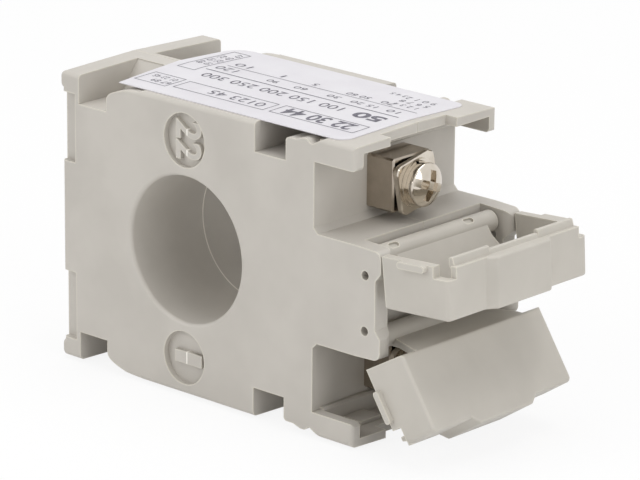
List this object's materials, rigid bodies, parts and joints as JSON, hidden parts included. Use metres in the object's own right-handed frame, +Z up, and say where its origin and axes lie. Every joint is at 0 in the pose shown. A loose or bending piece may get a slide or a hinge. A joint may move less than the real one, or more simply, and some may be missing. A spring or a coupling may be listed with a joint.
{
  "type": "current transformer",
  "caption": "Block-shaped ring current transformer with a round through bore, two screw terminals at one end and a hinged tray cover for each terminal.",
  "frame": {"origin": "centre of the through bore, halfway along it", "axes": "+X from the bore towards the terminals and covers, +Y along the bore away from the pictured face, +Z up from the bore to the labelled side"},
  "size_m": [0.0776, 0.0316, 0.0449],
  "materials": {
    "housing_plastic": "light grey moulded polyamide",
    "cover_plastic": "light grey moulded polyamide",
    "label_film": "white printed film",
    "core_steel": "wound silicon steel strip",
    "cup_plastic": "black insulating cup",
    "winding_copper": "enamelled copper wire",
    "tape_film": "yellow polyester tape",
    "nickel_block": "nickel plated",
    "nickel_plate": "nickel plated",
    "nickel_washer": "nickel plated",
    "nickel_screw": "nickel plated",
    "lead_copper": "tinned copper lead",
    "sleeve_plastic": "glass fibre sleeving",
    "solder": "solder"
  },
  "bodies": {
    "housing": {"front_shell": "housing_plastic", "rear_shell": "housing_plastic", "rating_label": "label_film", "wound_core": "core_steel", "front_core_cup": "cup_plastic", "rear_core_cup": "cup_plastic", "secondary_winding": "winding_copper", "winding_tape": "tape_film", "upper_terminal_block": "nickel_block", "lower_terminal_block": "nickel_block", "upper_lead": "lead_copper", "lower_lead": "lead_copper", "upper_lead_sleeve": "sleeve_plastic", "lower_lead_sleeve": "sleeve_plastic", "upper_solder_joint": "solder", "lower_solder_joint": "solder"},
    "upper_cover": {"upper_cover": "cover_plastic"},
    "lower_cover": {"lower_cover": "cover_plastic"},
    "upper_clamp": {"upper_clamp_plate": "nickel_plate", "upper_flat_washer": "nickel_washer", "upper_spring_washer": "nickel_washer"},
    "upper_screw": {"upper_terminal_screw": "nickel_screw"},
    "lower_clamp": {"lower_clamp_plate": "nickel_plate", "lower_flat_washer": "nickel_washer", "lower_spring_washer": "nickel_washer"},
    "lower_screw": {"lower_terminal_screw": "nickel_screw"}
  },
  "joints": [
    {"name": "upper_cover_hinge", "type": "hinge", "parent": "housing", "child": "upper_cover", "pos_m": [0.0344, 0, 0.006], "axis": [0, -1, 0], "range_deg": [0, 86.5]},
    {"name": "lower_cover_hinge", "type": "hinge", "parent": "housing", "child": "lower_cover", "pos_m": [0.0344, 0, -0.006], "axis": [0, 1, 0], "range_deg": [-53, 33.5]},
    {"name": "upper_clamp_travel", "type": "slide", "parent": "housing", "child": "upper_clamp", "axis": [1, 0, 0], "range_m": [-0.00035, 0.0021]},
    {"name": "upper_screw_turn", "type": "hinge", "parent": "upper_clamp", "child": "upper_screw", "pos_m": [0.033, 0, 0.01355], "axis": [1, 0, 0], "range_deg": [-181, 1081]},
    {"name": "lower_clamp_travel", "type": "slide", "parent": "housing", "child": "lower_clamp", "axis": [1, 0, 0], "range_m": [-0.00035, 0.0021]},
    {"name": "lower_screw_turn", "type": "hinge", "parent": "lower_clamp", "child": "lower_screw", "pos_m": [0.033, 0, -0.01355], "axis": [1, 0, 0], "range_deg": [-181, 1081]}
  ],
  "couplings": [
    {"joint": "upper_screw_turn", "follows": "upper_clamp_travel", "rad_per_m": 8976},
    {"joint": "lower_screw_turn", "follows": "lower_clamp_travel", "rad_per_m": 8976}
  ]
}
